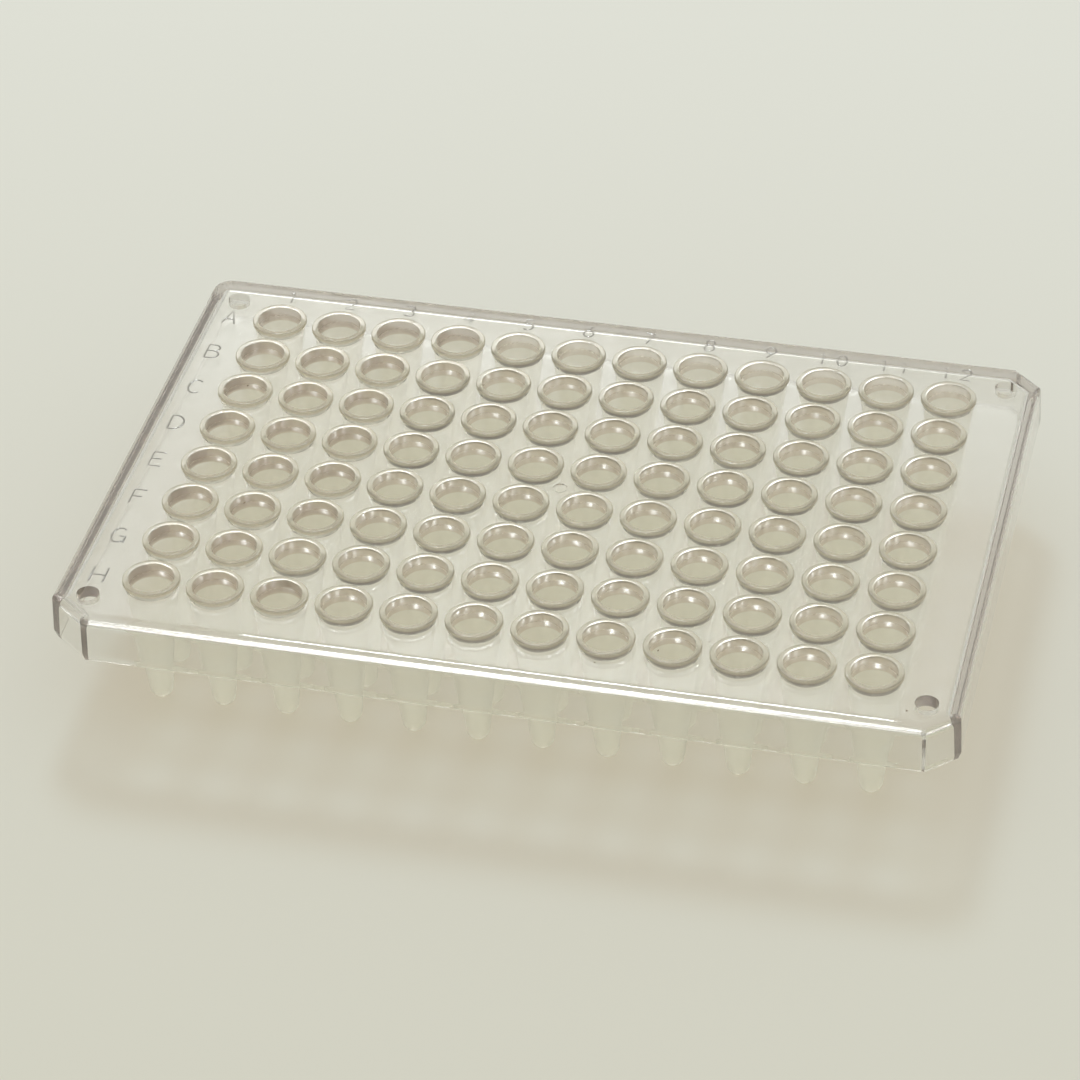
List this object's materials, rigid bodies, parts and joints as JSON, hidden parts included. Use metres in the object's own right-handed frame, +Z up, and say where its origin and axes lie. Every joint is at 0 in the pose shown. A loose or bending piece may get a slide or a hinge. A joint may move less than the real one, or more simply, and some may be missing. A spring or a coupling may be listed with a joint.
{
  "type": "well plate",
  "caption": "Low-skirted well plate for a thermal cycler: a clear frame that carries a grid of thin-walled tapered vessels, open at the top.",
  "frame": {"origin": "under the middle of the grid, at the level of the vessels' tips", "axes": "+X along the numbered columns from 1 to 12, +Y from row H to row A, +Z up out of the wells' mouths"},
  "size_m": [0.1242, 0.0828, 0.0204],
  "materials": {
    "clear_frame": "clear, gloss moulded polycarbonate",
    "frosted_vessels": "translucent moulded polypropylene, frosted by its own crystals"
  },
  "bodies": {
    "root": {"frame": "clear_frame", "well_row_a": "frosted_vessels", "well_row_b": "frosted_vessels", "well_row_c": "frosted_vessels", "well_row_d": "frosted_vessels", "well_row_e": "frosted_vessels", "well_row_f": "frosted_vessels", "well_row_g": "frosted_vessels", "well_row_h": "frosted_vessels"}
  },
  "joints": []
}
